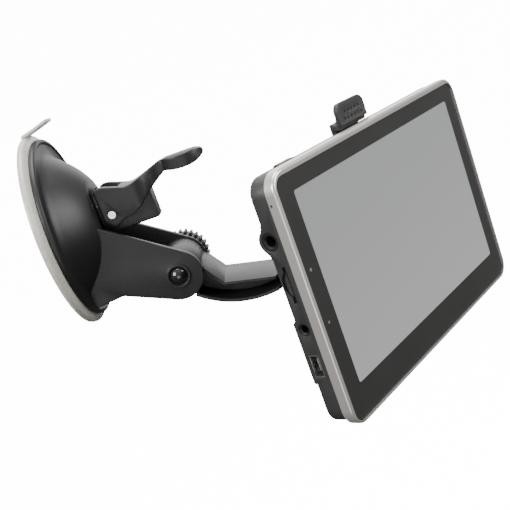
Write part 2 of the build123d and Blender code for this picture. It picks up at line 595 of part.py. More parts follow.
# ---------------------------------------------------------------- navigator case
JACK_Y = 20.05
JACK_Z = -8.4
JACK_COLLAR = 2.9
AV_Y = -9.4
AV_Z = -7.3
AV_COLLAR = 2.0
CARD_Y = 5.6
CARD_Z = -6.8
CARD_SLOT = (12.1, 1.2)
NOTCH_RADIUS = 5.9
USB_Y = -22.0
USB_Z = -7.65
USB_SHELL = (7.6, 3.9)
USB_MOUTH = (6.9, 3.2)
BUTTON_X = -COVER_HALF_X + 17.44
BUTTON_Z = -6.9
BUTTON_SIZE = (8.4, 3.0)
SWELL_RADIUS = 4.2
SWELL_BLEND = 3.0
SWELL_LENGTH = 15.0
PLATFORM_DEPTH = 10.8
PLATFORM_SPAN = (-28.2, -6.6)
SCREW_IN = 5.1                # from the cover's edges to each screw
SCREW_PLACES = [(side * (COVER_HALF_X - SCREW_IN), y) for y in (COVER_TOP - SCREW_IN, COVER_BOTTOM + SCREW_IN)
                for side in (-1, 1)]
SCREW_HEAD = 1.5


def bezel_frame():
    """Silver frame that carries the lens."""
    outer = card(CASE_HALF_X, CASE_BOTTOM, CASE_TOP, -BEZEL_DEPTH, BEZEL_LIP, 6.5)
    outer = fillet(outer_edges(outer, Axis.Z, BEZEL_LIP), 0.9)
    outer = chamfer(outer_edges(outer, Axis.Z, -BEZEL_DEPTH), CASE_INSET)
    pocket = card(LENS_HALF_X, LENS_BOTTOM, LENS_TOP, -LENS_THICKNESS, BEZEL_LIP + 1, 4.0)
    ledge = 2.6
    opening = card(LENS_HALF_X - ledge, LENS_BOTTOM + ledge, LENS_TOP - ledge, -BEZEL_DEPTH - 1, 0, 2.5)
    bores = Pos(-CASE_HALF_X + 0.5, 31.0, -2.4) * (Rot(0, 90, 0) * Cylinder(0.5, 8))
    return outer - pocket - opening - bores


def touch_lens():
    """Front lens, clear over the display and black round it."""
    return card(LENS_HALF_X - SEATED, LENS_BOTTOM + SEATED, LENS_TOP - SEATED, -LENS_THICKNESS, 0, 3.9)


def gasket_foam():
    """Foam frame between the lens and the display."""
    ring = card(SCREEN_WIDTH / 2 + 2.4, -SCREEN_HEIGHT / 2 - 2.4, SCREEN_HEIGHT / 2 + 2.4, -1.7, -1.1, 1.0)
    hole = card(SCREEN_WIDTH / 2 + 0.6, -SCREEN_HEIGHT / 2 - 0.6, SCREEN_HEIGHT / 2 + 0.6, -2, -1, 0.5)
    return ring - hole


def display_panel():
    """Liquid crystal cell."""
    return card(SCREEN_WIDTH / 2 + 2.4, -SCREEN_HEIGHT / 2 - 2.4, SCREEN_HEIGHT / 2 + 2.4, -3.0, -1.7, 0.6)


def display_tray():
    """Pressed steel tray with the backlight, round the cell's edge."""
    half_x, half_y = SCREEN_WIDTH / 2 + 3.1, SCREEN_HEIGHT / 2 + 3.1
    tray = card(half_x, -half_y, half_y, -4.1, -2.2, 1.0)
    return tray - card(half_x - 0.6, -half_y + 0.6, half_y - 0.6, -3.0, 0, 0.7)


def jack_swell():
    """Long swelling of the back cover over the headphone jack, blended into the flat back."""
    left = -COVER_HALF_X
    flat = -CASE_DEPTH
    rise = JACK_Z - (flat - SWELL_BLEND)
    reach = SWELL_RADIUS + SWELL_BLEND
    run = sqrt(reach ** 2 - rise ** 2)
    touch_y = run * SWELL_RADIUS / reach
    touch_z = JACK_Z - rise * SWELL_RADIUS / reach
    turn = atan2(rise, run) / 2 + pi / 4
    mid_y, mid_z = run - SWELL_BLEND * cos(turn), flat - SWELL_BLEND + SWELL_BLEND * sin(turn)
    edges = [ThreePointArc((JACK_Y + run, flat), (JACK_Y + mid_y, mid_z), (JACK_Y + touch_y, touch_z)),
             ThreePointArc((JACK_Y + touch_y, touch_z), (JACK_Y, JACK_Z - SWELL_RADIUS), (JACK_Y - touch_y, touch_z)),
             ThreePointArc((JACK_Y - touch_y, touch_z), (JACK_Y - mid_y, mid_z), (JACK_Y - run, flat)),
             Polyline((JACK_Y - run, flat), (JACK_Y - run, flat + 1.5), (JACK_Y + run, flat + 1.5),
                      (JACK_Y + run, flat))]
    bar = extrude(Plane.YZ.offset(left) * make_face(Curve(edges)), amount=SWELL_LENGTH)
    slope = Polygon((left - 1, flat + 3), (left - 1, flat - 4), (left + SWELL_LENGTH - 5, flat - 4),
                    (left + SWELL_LENGTH, flat), (left + SWELL_LENGTH, flat + 3), align=None)
    return bar & side_plate(slope, JACK_Y - 10, JACK_Y + 10)


def cover_solid():
    """Outside form of the back cover with the swellings over its sockets."""
    body = card(COVER_HALF_X, COVER_BOTTOM, COVER_TOP, -CASE_DEPTH, -BEZEL_DEPTH, 6.0)
    body = fillet(outer_edges(body, Axis.Z, -CASE_DEPTH), 0.8)
    platform = block((-COVER_HALF_X - 1, PLATFORM_SPAN[0], -PLATFORM_DEPTH),
                     (-COVER_HALF_X + 11.0, PLATFORM_SPAN[1], -CASE_DEPTH + 1.5))
    platform = chamfer(outer_edges(platform, Axis.Z, -PLATFORM_DEPTH), 0.6)
    below = card(COVER_HALF_X, COVER_BOTTOM, COVER_TOP, -20, -BEZEL_DEPTH, 6.0)
    return body + ((jack_swell() + platform) & below)


def socket_rooms():
    """Room inside the back cover for each socket, open to the left side."""
    reach = 13.0
    left = -COVER_HALF_X
    jack = Pos(left - 1, JACK_Y, JACK_Z) * (Rot(0, 90, 0) * extrude(Circle(JACK_COLLAR + SEATED), amount=reach + 2))
    av = Pos(left - 1, AV_Y, AV_Z) * (Rot(0, 90, 0) * extrude(Circle(AV_COLLAR + SEATED), amount=reach + 1))
    usb = block((left - 1, USB_Y - USB_SHELL[0] / 2 - SEATED, USB_Z - USB_SHELL[1] / 2 - SEATED),
                (left + 9.5, USB_Y + USB_SHELL[0] / 2 + SEATED, USB_Z + USB_SHELL[1] / 2 + SEATED))
    card_slot = block((left - 1, CARD_Y - CARD_SLOT[0] / 2, CARD_Z - CARD_SLOT[1] / 2),
                      (left + 4, CARD_Y + CARD_SLOT[0] / 2, CARD_Z + CARD_SLOT[1] / 2))
    low_z = CARD_Z - CARD_SLOT[1] / 2 - 1.8
    arc = Pos(left - 1, CARD_Y + 0.2, low_z + NOTCH_RADIUS) * (Rot(0, 90, 0) * Circle(NOTCH_RADIUS))
    notch = extrude(arc, amount=2.1, dir=(1, 0, 0))
    notch = notch & block((left - 2, CARD_Y - 6, low_z - 1), (left + 2, CARD_Y + 6, CARD_Z))
    return jack + av + usb + card_slot + notch


def rear_cover():
    """Back shell with its sockets, speaker slots, screw holes and hook slots."""
    body = cover_solid()
    room = card(COVER_HALF_X - CASE_WALL, COVER_BOTTOM + CASE_WALL, COVER_TOP - CASE_WALL,
                -CASE_DEPTH + CASE_WALL, 0, 4.5)
    body = body - room
    for x, y in SCREW_PLACES:
        body = body + Pos(x, y, -CASE_DEPTH + 0.8) * extrude(Circle(2.6), amount=CASE_DEPTH - BEZEL_DEPTH - 0.9)
        body = body - Pos(x, y, -CASE_DEPTH - 1) * extrude(Circle(0.9), amount=8)
        body = body - Pos(x, y, -CASE_DEPTH - 1) * extrude(Circle(SCREW_HEAD + SEATED), amount=2.0)
    body = body - socket_rooms()
    for side in (-1, 1):
        body = body - hook_slot(side * HOOK_X)
    for step in range(7):
        body = body - Pos(SPEAKER_X, SPEAKER_Y + 2.2 * (step - 3), -CASE_DEPTH - 1) * extrude(
            SlotOverall(12.0, 1.0), amount=4)
    half_x, half_z = BUTTON_SIZE[0] / 2 + 0.2, BUTTON_SIZE[1] / 2 + 0.2
    return body - block((BUTTON_X - half_x, COVER_TOP - 4, BUTTON_Z - half_z),
                        (BUTTON_X + half_x, COVER_TOP + 2, BUTTON_Z + half_z))


def cover_screws():
    """Four small screws through the back cover."""
    screws = []
    for x, y in SCREW_PLACES:
        head = Pos(x, y, -CASE_DEPTH + 0.05) * extrude(Circle(SCREW_HEAD), amount=0.9)
        shank = Pos(x, y, -CASE_DEPTH + 0.05) * extrude(Circle(0.82), amount=4.4)
        cross = Pos(x, y, -CASE_DEPTH - 0.2) * (Box(1.9, 0.4, 1.0) + Box(0.4, 1.9, 1.0))
        screws.append(head + shank - cross)
    return Compound(children=screws)


def power_button():
    """Power key in the top edge, with a flange behind the cover's wall."""
    half_x, half_z = BUTTON_SIZE[0] / 2, BUTTON_SIZE[1] / 2
    key = block((BUTTON_X - half_x, COVER_TOP - CASE_WALL - 0.3, BUTTON_Z - half_z),
                (BUTTON_X + half_x, COVER_TOP + 0.8, BUTTON_Z + half_z))
    key = fillet(outer_edges(key, Axis.Y, COVER_TOP + 0.8), 0.35)
    back = block((BUTTON_X - half_x + 2, COVER_TOP - CASE_WALL - 1.0, BUTTON_Z - 0.7),
                 (BUTTON_X + half_x - 2, COVER_TOP - CASE_WALL - 0.3, BUTTON_Z + 0.7))
    return key + back


# ---------------------------------------------------------------- navigator's insides
BOARD_TOP = -4.75
BOARD_BOTTOM = -5.55
BOARD_LEFT = -COVER_HALF_X + 15.44
SPEAKER_X = 44.0
SPEAKER_Y = -22.0


def main_board():
    """Circuit board behind the display's left half."""
    board = block((BOARD_LEFT, -31.0, BOARD_BOTTOM), (6.0, 34.0, BOARD_TOP))
    return board - block((BUTTON_X - 10, 30.0, -7), (BUTTON_X + 7, 36, 0))


def shield_can():
    """Tinned can over the radio and processor."""
    low = BOARD_BOTTOM - 1.9
    can = block((-30.0, 2.0, low), (-6.0, 24.0, BOARD_BOTTOM))
    return can - block((-29.7, 2.3, low + 0.3), (-6.3, 23.7, BOARD_BOTTOM + 1))


def board_chips():
    """Processor, memory and flash on the board."""
    low = BOARD_BOTTOM - 1.1
    places = [(-23.0, 13.0, 12.0, 12.0), (-11.5, 13.0, 8.0, 11.0), (-20.0, -14.0, 12.0, 18.0)]
    chips = []
    for x, y, wide, tall in places:
        chips.append(block((x - wide / 2, y - tall / 2, low), (x + wide / 2, y + tall / 2, BOARD_BOTTOM)))
    return Compound(children=chips)


def battery():
    """Flat lithium cell behind the display's right half."""
    return fillet(block((10.0, -12.0, -7.8), (50.0, 32.0, -4.8)).edges().filter_by(Axis.Y), 1.0)


def speaker():
    """Small round loudspeaker behind the slots."""
    basket = Pos(SPEAKER_X, SPEAKER_Y, -7.85) * extrude(Circle(9.0), amount=1.9)
    magnet = Pos(SPEAKER_X, SPEAKER_Y, -5.95) * extrude(Circle(5.5), amount=1.1)
    return basket + magnet


def antenna_patch():
    """Ceramic satellite antenna near the top edge."""
    return block((-4.0, 25.0, BOARD_BOTTOM - 2.2), (5.5, 33.8, BOARD_BOTTOM))


def jack_body(radius, y, z, collar, length):
    """Phone jack: a block on the inside with a round nose through the cover."""
    left = -COVER_HALF_X
    nose = Pos(left + 0.15, y, z) * (Rot(0, 90, 0) * extrude(Circle(collar), amount=length))
    bore = Pos(left - 1, y, z) * (Rot(0, 90, 0) * extrude(Circle(radius), amount=length))
    mouth = Pos(left + 0.15, y, z) * (Rot(0, 90, 0) * Cone(radius + 0.5, radius, 0.5,
                                                            align=(Align.CENTER, Align.CENTER, Align.MIN)))
    return nose - bore - mouth


def headphone_jack():
    """3.5 mm stereo jack."""
    return jack_body(HEADPHONE_RADIUS, JACK_Y, JACK_Z, JACK_COLLAR, 13.5)


def av_jack():
    """2.5 mm video jack."""
    return jack_body(AV_JACK_RADIUS, AV_Y, AV_Z, AV_COLLAR, 12.5)


def card_socket():
    """Memory card reader behind its slot."""
    left = -COVER_HALF_X + CASE_WALL + 0.1
    high = BOARD_BOTTOM - 0.15
    shell = block((left, CARD_Y - 7.2, high - 1.8), (left + 13.0, CARD_Y + 7.2, high))
    return shell - block((left - 1, CARD_Y - 5.8, CARD_Z - 0.45), (left + 12.4, CARD_Y + 5.8, CARD_Z + 0.4))


def usb_socket():
    """Mini USB receptacle with its contact tongue."""
    left = -COVER_HALF_X + 0.3
    half_y, half_z = USB_SHELL[0] / 2, USB_SHELL[1] / 2
    mouth_y, mouth_z = USB_MOUTH[0] / 2, USB_MOUTH[1] / 2
    shell = block((left, USB_Y - half_y, USB_Z - half_z), (left + 9.0, USB_Y + half_y, USB_Z + half_z))
    hollow = block((left - 1, USB_Y - mouth_y, USB_Z - mouth_z), (left + 8.6, USB_Y + mouth_y, USB_Z + mouth_z))
    tongue = block((left + 1.5, USB_Y - 2.2, USB_Z - 0.35), (left + 8.6, USB_Y + 2.2, USB_Z + 0.35))
    return shell - hollow + tongue


def power_switch():
    """Tactile switch under the power key."""
    top = COVER_TOP - CASE_WALL - 1.0 - 0.7
    body = block((BUTTON_X - 2.2, top - 3.0, BUTTON_Z - 1.0), (BUTTON_X + 2.2, top - 0.6, BUTTON_Z + 1.3))
    return body + block((BUTTON_X - 0.8, top - 0.7, BUTTON_Z - 0.5), (BUTTON_X + 0.8, top, BUTTON_Z + 0.5))


def microphone():
    """Microphone capsule behind the bezel's left side."""
    left = -LENS_HALF_X + 2.6 + 0.3
    return Pos(left + 0.9, 31.0, -3.0) * extrude(Circle(0.85), amount=1.1)


# ---------------------------------------------------------------- write the pieces
ROW_PIECES = {
    "suction_pad": suction_pad,
    "suction_housing": suction_housing,
    "plunger": plunger,
    "return_spring": return_spring,
    "lever": lever,
    "lever_pin": lever_pin,
    "fork_bolt": fork_bolt,
    "knob_washer": knob_washer,
    "clamp_knob": clamp_knob,
    "knob_nut": knob_nut,
    "arm": arm,
}
NAVIGATOR_PIECES = {
    "ball_seat_ring": ball_seat_ring,
    "ball_seat_cup": ball_seat_cup,
    "locking_collar": locking_collar,
    "cradle": cradle,
    "release_tab": release_tab,
    "bezel_frame": bezel_frame,
    "touch_lens": touch_lens,
    "gasket_foam": gasket_foam,
    "display_panel": display_panel,
    "display_tray": display_tray,
    "rear_cover": rear_cover,
    "cover_screws": cover_screws,
    "power_button": power_button,
    "main_board": main_board,
    "shield_can": shield_can,
    "board_chips": board_chips,
    "battery": battery,
    "speaker": speaker,
    "antenna_patch": antenna_patch,
    "headphone_jack": headphone_jack,
    "av_jack": av_jack,
    "card_socket": card_socket,
    "usb_socket": usb_socket,
    "power_switch": power_switch,
    "microphone": microphone,
}

for name, make in ROW_PIECES.items():
    save(name, make())
for name, make in NAVIGATOR_PIECES.items():
    save(name, NAVIGATOR * make())
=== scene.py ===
# %% [markdown]
# # A car navigator on its suction mount
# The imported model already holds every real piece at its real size: the foot, the lever, the arm, the
# ball joint, the cradle and the navigator with its insides. This notebook gives those pieces their
# looks. It starts by loading them as a fixed frame, so nothing here has to be measured again.

# %% Load the frame
import json
from math import pi, radians

import bmesh
import bpy
from mathutils import Matrix, Vector


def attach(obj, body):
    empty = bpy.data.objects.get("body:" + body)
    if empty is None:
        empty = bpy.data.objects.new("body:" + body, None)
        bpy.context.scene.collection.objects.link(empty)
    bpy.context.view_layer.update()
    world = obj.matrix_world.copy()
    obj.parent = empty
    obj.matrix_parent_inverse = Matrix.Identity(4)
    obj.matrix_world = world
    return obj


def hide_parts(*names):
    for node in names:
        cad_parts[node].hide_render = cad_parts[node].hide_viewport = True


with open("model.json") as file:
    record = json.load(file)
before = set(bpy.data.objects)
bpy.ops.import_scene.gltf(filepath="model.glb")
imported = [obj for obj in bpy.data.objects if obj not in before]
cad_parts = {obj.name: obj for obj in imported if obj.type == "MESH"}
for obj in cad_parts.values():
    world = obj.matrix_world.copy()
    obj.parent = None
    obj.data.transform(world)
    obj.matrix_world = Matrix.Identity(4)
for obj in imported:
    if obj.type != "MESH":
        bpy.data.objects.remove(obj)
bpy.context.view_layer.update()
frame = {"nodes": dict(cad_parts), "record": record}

MM = 0.001
nodes = frame["nodes"]
record = frame["record"]

# %% [markdown]
# ## Where things are
# A maker works from datums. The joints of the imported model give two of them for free: the ball's
# centre, and the way the screen faces. Everything that is placed below is placed from these, from a
# piece's own box, or from a named size in millimetres, so it follows the model if the model changes.

# %% Datums
joints = {joint["name"]: joint for joint in record["behaviour"]["joints"]}
ball = Vector(joints["ball_yaw"]["pos_m"])
screen_right = Vector(joints["ball_pitch"]["axis"]).normalized()
screen_out = Vector(joints["ball_roll"]["axis"]).normalized()
screen_up = Vector((0, 0, 1))
BALL_TO_LENS = 29.8 * MM
lens_front = ball + screen_out * BALL_TO_LENS
body_of = {node: body for body, names in record["behaviour"]["bodies"].items() for node in names}
slot_of = {part["node"]: part["material_slot"] for part in record["subparts"]}
print("screen centre", [round(value / MM, 1) for value in lens_front], "mm")

# %% [markdown]
# ## Shader sums written as sums
# A pattern such as a rounded window is a short formula. Adding Math nodes by hand hides the formula,
# so a small class wraps a socket and turns `+`, `-`, `*` and the rest into nodes. Each finish owns a
# node tree, and one method adds every other kind of node: its settings first, then its sockets.

# %% A socket that can be used in a sum
class Wire:
    """One output of a node, for use in an expression."""

    def __init__(self, finish, socket):
        self.finish = finish
        self.socket = socket

    def sum_of(self, operation, *values):
        return self.finish.add("ShaderNodeMath", {"operation": operation}, dict(enumerate(values)))

    def __add__(self, other):
        return self.sum_of("ADD", self, other)

    def __radd__(self, other):
        return self.sum_of("ADD", other, self)

    def __sub__(self, other):
        return self.sum_of("SUBTRACT", self, other)

    def __rsub__(self, other):
        return self.sum_of("SUBTRACT", other, self)

    def __mul__(self, other):
        return self.sum_of("MULTIPLY", self, other)

    def __rmul__(self, other):
        return self.sum_of("MULTIPLY", other, self)

    def __abs__(self):
        return self.sum_of("ABSOLUTE", self)

    def root(self):
        return self.sum_of("SQRT", self)

    def sine(self):
        return self.sum_of("SINE", self)

    def at_least(self, other):
        return self.sum_of("MAXIMUM", self, other)

    def along(self, origin, direction):
        """How far a place lies from an origin in one direction."""
        offset = self.finish.add("ShaderNodeVectorMath", {"operation": "SUBTRACT"}, {0: self, 1: origin})
        return self.finish.add("ShaderNodeVectorMath", {"operation": "DOT_PRODUCT"},
                               {0: offset, 1: direction}, output="Value")

    def between(self, low, high):
        """A soft step from 0 at low to 1 at high."""
        return self.finish.add("ShaderNodeMapRange", {"interpolation_type": "SMOOTHSTEP"},
                               {"Value": self, "From Min": low, "From Max": high})


class Finish:
    """One material and the few kinds of node that it is made of."""

    def __init__(self, name, **constants):
        self.material = bpy.data.materials.new(name)
        self.material.use_nodes = True
        self.tree = self.material.node_tree
        self.surface = self.tree.nodes["Principled BSDF"]
        for socket, value in constants.items():
            self.surface.inputs[socket.replace("_", " ")].default_value = value
        self.place = self.add("ShaderNodeTexCoord", {}, {}, output="Object")

    def add(self, kind, settings, values, output=0):
        node = self.tree.nodes.new(kind)
        for name, value in settings.items():
            setattr(node, name, value)
        for name, value in values.items():
            self.join(node.inputs[name], value)
        return Wire(self, node.outputs[output])

    def join(self, socket, value):
        if isinstance(value, Wire):
            self.tree.links.new(value.socket, socket)
        else:
            socket.default_value = value

    def feed(self, **values):
        for name, value in values.items():
            self.join(self.surface.inputs[name.replace("_", " ")], value)
        return self.material

    def noise(self, size_mm, detail=3.0, roughness=0.5, place=None):
        """Cloudy pattern whose blobs are about one size across."""
        return self.add("ShaderNodeTexNoise", {}, {"Vector": place or self.place, "Scale": 1 / (size_mm * MM),
                                                  "Detail": detail, "Roughness": roughness})

    def stretched(self, factors):
        """The place, pulled so that a pattern becomes streaks."""
        return self.add("ShaderNodeVectorMath", {"operation": "MULTIPLY"}, {0: self.place, 1: factors})

    def blend(self, mask, first, second):
        """A colour between two colours."""
        return self.add("ShaderNodeMix", {"data_type": "RGBA"}, {0: mask, 6: first, 7: second}, output=2)

    def bump(self, height, depth_mm):
        """A relief of one depth, for the normal."""
        return self.add("ShaderNodeBump", {}, {"Distance": depth_mm * MM, "Height": height})


def grey(value, warmth=0.0):
    """A grey, a little warm or cold."""
    return (value * (1 + warmth), value, value * (1 - warmth), 1)


print("helpers ready")

# %% [markdown]
# ## Moulded plastics
# The foot, lever, arm and cradle are glass-filled nylon from a steel mould. The mould is spark
# eroded, which leaves a very fine even grain, and handling polishes it in patches. Three layers copy
# that: a grain for the bump, a slow cloud that shifts colour and gloss, and thin streaks of wear.

# %% Moulded plastic
def moulded_plastic(name, colour, roughness, grain_mm=0.22, grain_depth=0.012, warmth=0.0, polish=0.10):
    """Satin plastic with a spark grain, slow clouds of gloss and faint handling streaks."""
    finish = Finish(name, Specular_IOR_Level=0.42)
    grain = finish.noise(grain_mm, detail=2.0)
    cloud = finish.noise(14.0, detail=2.0)
    streak = finish.noise(1.2, detail=2.0, place=finish.stretched((0.35, 1.0, 3.2))).between(0.62, 0.74)
    tone = cloud * 0.7 + grain * 0.3
    base = finish.blend(tone, grey(colour * 0.82, warmth), grey(colour * 1.22, warmth))
    shade = finish.blend(streak * 0.3, base, grey(colour * 1.7, warmth))
    gloss = roughness + polish * (0.5 - cloud) + streak * 0.06 + grain * 0.05
    return finish.feed(Base_Color=shade, Roughness=gloss, Normal=finish.bump(grain, grain_depth))


mount_plastic = moulded_plastic("mount_plastic", 0.012, 0.38)
grip_plastic = moulded_plastic("grip_plastic", 0.014, 0.44)
cover_plastic = moulded_plastic("cover_plastic", 0.026, 0.46, grain_mm=0.3, grain_depth=0.02, warmth=0.01)
key_plastic = moulded_plastic("key_plastic", 0.018, 0.36)
jack_plastic = moulded_plastic("jack_plastic", 0.012, 0.30)
nylon = moulded_plastic("grey_nylon", 0.42, 0.5, warmth=0.02)
switch_plastic = moulded_plastic("switch_plastic", 0.06, 0.45)
chip_plastic = moulded_plastic("chip_plastic", 0.025, 0.5, grain_mm=0.12)
speaker_black = moulded_plastic("speaker_black", 0.04, 0.55)
foam = moulded_plastic("foam", 0.03, 0.9, grain_mm=0.5, grain_depth=0.15)
print("plastics:", len([m for m in bpy.data.materials if m.use_nodes]))

# %% [markdown]
# ## Silver paint on the bezel
# The bezel is plastic with a satin silver lacquer. Lacquer has no grain of its own: it shows fine
# metal flakes, a faint orange peel from spraying, and a warm tone. A part-metallic base with a thin
# coat gives the bright edges without turning the frame into a mirror.

# %% Bezel lacquer
def silver_lacquer():
    finish = Finish("bezel_silver", Coat_Roughness=0.18, Specular_IOR_Level=0.5)
    flake = finish.noise(0.09, detail=1.0)
    peel = finish.noise(1.6, detail=1.0)
    cloud = finish.noise(22.0, detail=2.0)
    base = finish.blend(flake * 0.5 + cloud * 0.5, grey(0.62, 0.06), grey(0.80, 0.045))
    return finish.feed(Base_Color=base, Metallic=0.70 + 0.15 * flake, Roughness=0.27 + 0.07 * cloud,
                       Coat_Weight=0.25 + 0.1 * cloud, Normal=finish.bump(peel, 0.008))


bezel_silver = silver_lacquer()
print("made", bezel_silver.name)

# %% [markdown]
# ## The lens
# One sheet covers the whole front: clear over the display, printed black from behind round it. Off,
# the display looks mid grey through the glass. The window is a rounded rectangle in the screen's own
# two directions, so its mask is the usual distance formula: how far a place lies outside a smaller
# box, less the corner's radius. Two dots on the left border stand for the light and the sensor.

# %% Lens with its window
WINDOW = (54.0 * MM, 32.4 * MM)
WINDOW_CORNER = 0.9 * MM
DARK_LINE = 0.5 * MM
PRINT_EDGE = 0.12 * MM
LIGHT_SPOT = (-58.6, 8.5, 0.55)
SENSOR_SPOT = (-58.6, -9.0, 0.45)


def window_mask(finish, half_x, half_y, corner):
    """1 inside a rounded rectangle about the screen's centre, 0 outside."""
    across = abs(finish.place.along(lens_front, screen_right))
    upward = abs(finish.place.along(lens_front, screen_up))
    out_x = (across - (half_x - corner)).at_least(0.0)
    out_y = (upward - (half_y - corner)).at_least(0.0)
    squared = out_x * out_x + out_y * out_y
    distance = squared.root() - corner
    return distance.between(PRINT_EDGE, -PRINT_EDGE)


def dot_mask(finish, x_mm, y_mm, radius_mm):
    """1 inside a small round spot on the lens."""
    across = finish.place.along(lens_front, screen_right) - x_mm * MM
    upward = finish.place.along(lens_front, screen_up) - y_mm * MM
    squared = across * across + upward * upward
    return squared.between((radius_mm * MM) ** 2 * 1.4, (radius_mm * MM) ** 2 * 0.6)


def touch_lens():
    finish = Finish("touch_lens", Coat_Roughness=0.12, Specular_IOR_Level=0.45)
    window = window_mask(finish, *WINDOW, WINDOW_CORNER)
    edge = window_mask(finish, WINDOW[0] + DARK_LINE, WINDOW[1] + DARK_LINE, WINDOW_CORNER) - window
    cloud = finish.noise(30.0, detail=1.0)
    film = finish.noise(0.12, detail=1.0)
    smear = finish.noise(5.0, detail=3.0, place=finish.stretched((1.0, 1.0, 0.4)))
    border = finish.blend(cloud, grey(0.022, 0.03), grey(0.030, 0.03))
    # Painted light: the window's grey is painted lighter towards its bottom edge.
    painted_light_fall = finish.place.along(lens_front, screen_up).between(WINDOW[1] * 1.2, -WINDOW[1] * 1.4)
    glass = finish.blend(painted_light_fall * 0.8 + film * 0.2, (0.30, 0.305, 0.31, 1), (0.40, 0.40, 0.40, 1))
    base = finish.blend(window, border, glass)
    base = finish.blend(edge * 0.6, base, grey(0.018))
    dots = (dot_mask(finish, *LIGHT_SPOT) + dot_mask(finish, *SENSOR_SPOT)) * 0.55
    base = finish.blend(dots, base, grey(0.35))
    return finish.feed(Base_Color=base, Roughness=0.30 + 0.12 * window + 0.06 * smear,
                       Coat_Weight=0.25 * (1 - window * 0.6), Normal=finish.bump(film, 0.002))


lens_black = touch_lens()
print("window", [round(2 * side / MM, 1) for side in WINDOW], "mm")

# %% [markdown]
# ## Metals
# Four metals do the work: a bright turned pin, a lacquered bolt, plated port shells and a brass nut.
# Turned and drawn metal keeps fine tool lines round its axis, and pressed sheet has a soft mottle.
# Full metallic with a noise pulled into lines covers them all, with colour and roughness changed.

# %% Metals
def metal(name, colour, roughness, streaks=(1.0, 6.0, 1.0), size_mm=0.5, depth=0.004):
    """Bare metal with fine lines left by the tool."""
    finish = Finish(name)
    lines = finish.noise(size_mm, detail=3.0, place=finish.stretched(streaks))
    mottle = finish.noise(4.0, detail=2.0)
    dark = tuple(channel * 0.82 for channel in colour) + (1,)
    base = finish.blend(lines * 0.5 + mottle * 0.5, dark, (*colour, 1))
    gloss = roughness + 0.12 * (lines - 0.5) + 0.05 * mottle
    return finish.feed(Base_Color=base, Metallic=1.0, Roughness=gloss, Normal=finish.bump(lines, depth))


def bolt_lacquer():
    """Glossy black paint over a pressed bolt head."""
    finish = Finish("gloss_black", Coat_Roughness=0.05)
    peel = finish.noise(0.9, detail=1.0)
    base = finish.blend(peel, grey(0.006), grey(0.012))
    return finish.feed(Base_Color=base, Roughness=0.16 + 0.08 * peel, Coat_Weight=0.6 + 0.1 * peel,
                       Normal=finish.bump(peel, 0.004))


pin_steel = metal("pin_steel", (0.80, 0.79, 0.76), 0.22)
spring_steel = metal("spring_steel", (0.62, 0.61, 0.58), 0.34)
port_steel = metal("port_steel", (0.72, 0.71, 0.69), 0.26, streaks=(1, 1, 4))
tray_steel = metal("tray_steel", (0.66, 0.66, 0.65), 0.38, streaks=(1, 1, 1), size_mm=2.0)
brass = metal("brass", (0.78, 0.60, 0.28), 0.28)
screw_black = metal("screw_black", (0.09, 0.09, 0.09), 0.35)
battery_wrap = metal("battery_wrap", (0.70, 0.70, 0.72), 0.42, streaks=(1, 1, 1), size_mm=3.0, depth=0.03)
gloss_black = bolt_lacquer()
print("metals ready")

# %% [markdown]
# ## Boards, cell and aerial
# The insides show only when the case is opened, but they are real pieces. The board is green solder
# mask over a grid of traces, which a soft square wave in two directions suggests at the right
# pitch. The display cell is smoky glass, and the aerial is fired ceramic with a silver patch.

# %% Insides
ROW_PITCH = 1.27 * MM
COLUMN_PITCH = 2.54 * MM


def solder_mask():
    finish = Finish("board_green", Coat_Roughness=0.2)
    across = finish.place.along(lens_front, screen_right)
    upward = finish.place.along(lens_front, screen_up)
    rows = (upward * (2 * pi / ROW_PITCH)).sine().between(0.55, 0.8)
    columns = (across * (2 * pi / COLUMN_PITCH)).sine().between(0.7, 0.9)
    patch = finish.noise(7.0, detail=0.0).between(0.45, 0.6)
    traces = (rows * patch).at_least(columns * (1 - patch))
    base = finish.blend(traces * 0.6, (0.010, 0.080, 0.035, 1), (0.03, 0.20, 0.08, 1))
    return finish.feed(Base_Color=base, Roughness=0.32 + 0.1 * patch, Coat_Weight=0.3,
                       Normal=finish.bump(traces, 0.03))


def smoky_cell():
    finish = Finish("display_glass")
    cloud = finish.noise(12.0)
    return finish.feed(Base_Color=finish.blend(cloud, grey(0.24), grey(0.30)), Roughness=0.12 + 0.05 * cloud)


def fired_ceramic():
    finish = Finish("ceramic")
    speck = finish.noise(0.4)
    base = finish.blend(speck, (0.62, 0.52, 0.38, 1), (0.74, 0.66, 0.52, 1))
    return finish.feed(Base_Color=base, Roughness=0.5 + 0.15 * speck, Normal=finish.bump(speck, 0.02))


board_green = solder_mask()
display_glass = smoky_cell()
ceramic = fired_ceramic()
print("inside finishes ready")

# %% [markdown]
# ## Soft clear PVC
# The suction pad is clear vinyl a few millimetres thick, so it looks like pale cloudy jelly: light
# enters, scatters and comes out beige. Real glass-like transmission alone would look too clean.
# A pale base with some subsurface and a little transmission keeps it milky, and a smooth coat gives
# the wet shine on its rim.

# %% Clear PVC
def soft_vinyl(name, deep, pale):
    finish = Finish(name, Transmission_Weight=0.22, IOR=1.5, Coat_Roughness=0.1, Subsurface_Weight=0.35,
                    Subsurface_Scale=2.0 * MM, Subsurface_Radius=(1.0, 0.97, 0.9))
    cloud = finish.noise(6.0, detail=2.0)
    haze = finish.noise(0.8, detail=2.0)
    base = finish.blend(cloud * 0.7 + haze * 0.3, deep, pale)
    return finish.feed(Base_Color=base, Roughness=0.22 + 0.16 * haze, Coat_Weight=0.3,
                       Normal=finish.bump(cloud, 0.12))


pad_vinyl = soft_vinyl("clear_pvc", (0.54, 0.52, 0.45, 1), (0.80, 0.78, 0.71, 1))
print("made", pad_vinyl.name)

